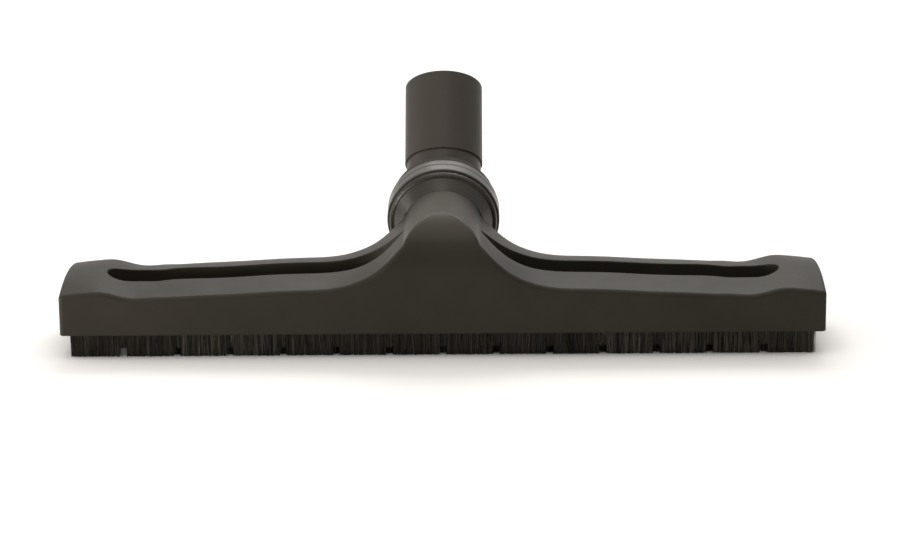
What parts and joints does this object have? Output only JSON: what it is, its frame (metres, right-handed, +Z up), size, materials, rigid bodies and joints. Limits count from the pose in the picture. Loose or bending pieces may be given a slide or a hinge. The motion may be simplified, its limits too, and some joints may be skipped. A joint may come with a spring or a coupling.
{
  "type": "vacuum floor tool head",
  "caption": "Wide wet and dry floor tool head in matte black plastic: hood over a suction mouth, scalloped bristle strips front and back, and a swivel elbow with a wand socket.",
  "frame": {"origin": "on the floor under the middle of the whole tool's box", "axes": "+X along the head to the right seen from the front, +Y to the back, +Z up from the floor"},
  "size_m": [0.4, 0.1654, 0.1259],
  "materials": {
    "hood_plastic": "fine grain",
    "collar_plastic": "coarse grain",
    "nut_plastic": "fine grain",
    "slip_plastic": "smooth",
    "seal_rubber": "smooth",
    "carrier_plastic": "satin",
    "screw_steel": "zinc plated",
    "channel_steel": "zinc plated",
    "wire_steel": "drawn",
    "bristle_nylon": "satin strands",
    "elbow_plastic": "fine grain",
    "cuff_plastic": "smooth satin"
  },
  "bodies": {
    "head": {"nozzle_housing": "hood_plastic", "swivel_collar": "collar_plastic", "ring_nut": "nut_plastic", "front_slip_washer": "slip_plastic", "rear_slip_washer": "slip_plastic", "swivel_o_ring": "seal_rubber", "brush_frame": "carrier_plastic", "frame_screws": "screw_steel", "front_strip_channel": "channel_steel", "rear_strip_channel": "channel_steel", "front_core_wire": "wire_steel", "rear_core_wire": "wire_steel", "front_bristles": "bristle_nylon", "rear_bristles": "bristle_nylon"},
    "elbow": {"swivel_elbow": "elbow_plastic", "elbow_shoulder": "elbow_plastic", "wand_cuff": "cuff_plastic"}
  },
  "joints": [
    {"name": "elbow_swivel", "type": "hinge", "parent": "head", "child": "elbow", "pos_m": [0, -0.01221, 0.0517], "axis": [0, 0.9781, 0.2079], "continuous": true}
  ]
}
